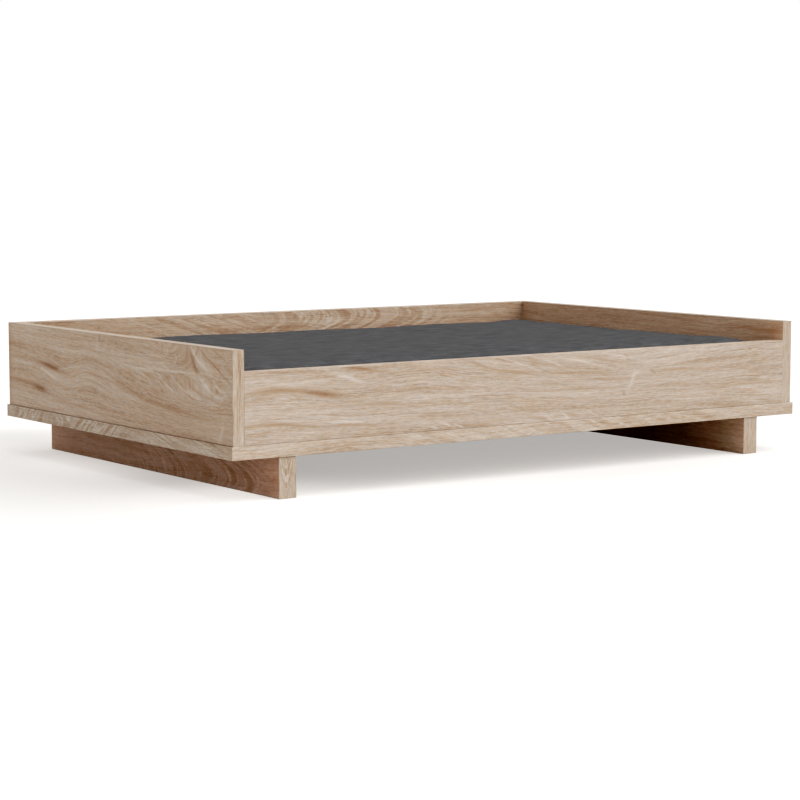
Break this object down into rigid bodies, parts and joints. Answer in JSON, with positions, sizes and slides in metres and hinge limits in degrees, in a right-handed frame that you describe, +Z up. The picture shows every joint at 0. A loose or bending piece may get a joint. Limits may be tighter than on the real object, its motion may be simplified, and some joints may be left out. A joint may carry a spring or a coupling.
{
  "type": "dog bed with frame",
  "caption": "Low rectangular tray of oak-look boards on two skids, with tall sides and back, a lower front wall to step over, and a loose flat fabric-covered foam cushion.",
  "frame": {"origin": "on the floor, under the middle of the bed", "axes": "+Z up, +X along the length to the right, +Y to the back; the low front wall faces -Y"},
  "size_m": [0.927, 0.618, 0.1844],
  "materials": {
    "oak_board": "satin",
    "oak_edge_band": "satin",
    "beech_peg": "matte",
    "screw_steel": "satin",
    "cam_zinc": "satin",
    "glide_plastic": "matte",
    "charcoal_fabric": "matte",
    "grip_fabric": "matte",
    "foam": "matte",
    "zip_tape": "matte",
    "zip_coil_plastic": "satin",
    "zip_metal": "satin"
  },
  "bodies": {
    "frame": {"base_board": "oak_board", "base_edge_bands": "oak_edge_band", "left_side_panel": "oak_board", "left_side_edge_bands": "oak_edge_band", "right_side_panel": "oak_board", "right_side_edge_bands": "oak_edge_band", "front_panel": "oak_board", "front_panel_edge_band": "oak_edge_band", "back_panel": "oak_board", "back_panel_edge_band": "oak_edge_band", "left_skid": "oak_board", "left_skid_edge_bands": "oak_edge_band", "right_skid": "oak_board", "right_skid_edge_bands": "oak_edge_band", "skid_glides": "glide_plastic", "wall_screws": "screw_steel", "skid_screws": "screw_steel", "wall_dowels": "beech_peg", "skid_dowels": "beech_peg", "corner_dowels": "beech_peg", "cam_locks": "cam_zinc", "cam_bolts": "screw_steel"},
    "cushion": {"cover_top": "charcoal_fabric", "cover_boxing": "charcoal_fabric", "cover_base": "grip_fabric", "foam_core": "foam", "zip_tapes": "zip_tape", "zip_coil": "zip_coil_plastic", "zip_end_stops": "zip_metal"},
    "zip_slider": {"zip_slider": "zip_metal", "zip_pull": "zip_tape"}
  },
  "joints": [
    {"name": "cushion_lift", "type": "slide", "parent": "frame", "child": "cushion", "axis": [0, 0, 1], "range_m": [0, 0.14]},
    {"name": "zip_slide", "type": "slide", "parent": "cushion", "child": "zip_slider", "axis": [-1, 0, 0], "range_m": [0, 0.66]}
  ]
}
